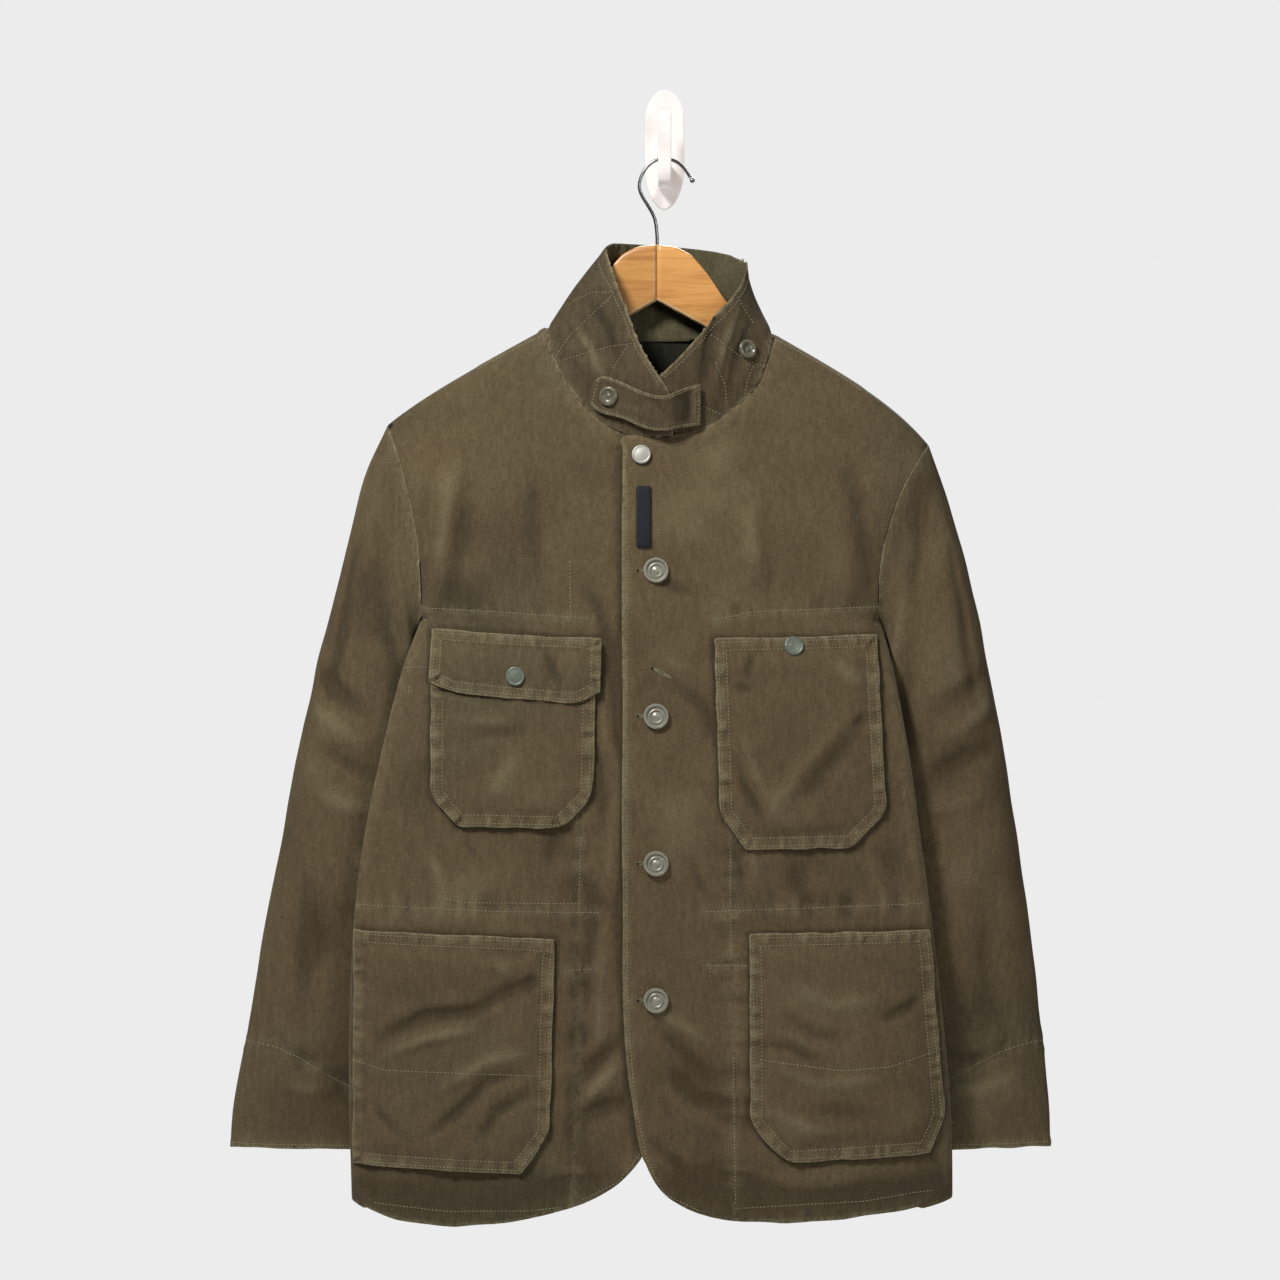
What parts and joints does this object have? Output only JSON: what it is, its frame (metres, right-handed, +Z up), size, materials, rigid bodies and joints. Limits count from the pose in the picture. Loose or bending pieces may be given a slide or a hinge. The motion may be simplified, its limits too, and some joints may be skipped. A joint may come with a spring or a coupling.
{
  "type": "logger jacket hanging on a wooden hanger from a wall hook",
  "caption": "Buttoned logger jacket of heavy olive cotton with patch pockets and a stand-up collar strap, hung on a wooden hanger from a plastic wall hook.",
  "frame": {"origin": "centre of the wall hook's flat back, on the wall plane", "axes": "+Y out of the hook's back into the wall, +Z up, -Y the jacket's front"},
  "size_m": [0.7423, 0.1155, 1.0257],
  "materials": {
    "olive_cloth": "matte heavy cotton",
    "label_cloth": "matte woven tape",
    "button": "satin, rimmed",
    "snap": "worn satin",
    "beech": "varnished",
    "wire": "dark satin",
    "hook_plastic": "gloss"
  },
  "bodies": {
    "root": {"right_front": "olive_cloth", "left_front": "olive_cloth", "back": "olive_cloth", "right_sleeve": "olive_cloth", "left_sleeve": "olive_cloth", "collar": "olive_cloth", "throat_strap": "olive_cloth", "right_chest_pocket": "olive_cloth", "right_chest_flap": "olive_cloth", "left_chest_pocket": "olive_cloth", "right_lower_pocket": "olive_cloth", "left_lower_pocket": "olive_cloth", "front_label": "label_cloth", "front_button_1": "button", "front_button_2": "button", "front_button_3": "button", "front_button_4": "button", "strap_button": "button", "stowing_button": "button", "neck_snap": "snap", "flap_snap": "snap", "pocket_snap": "snap", "hanger_right_arm": "beech", "hanger_left_arm": "beech", "hanger_wire": "wire", "wire_tip": "wire", "wall_hook_plate": "hook_plastic", "wall_hook_arm": "hook_plastic"}
  },
  "joints": []
}
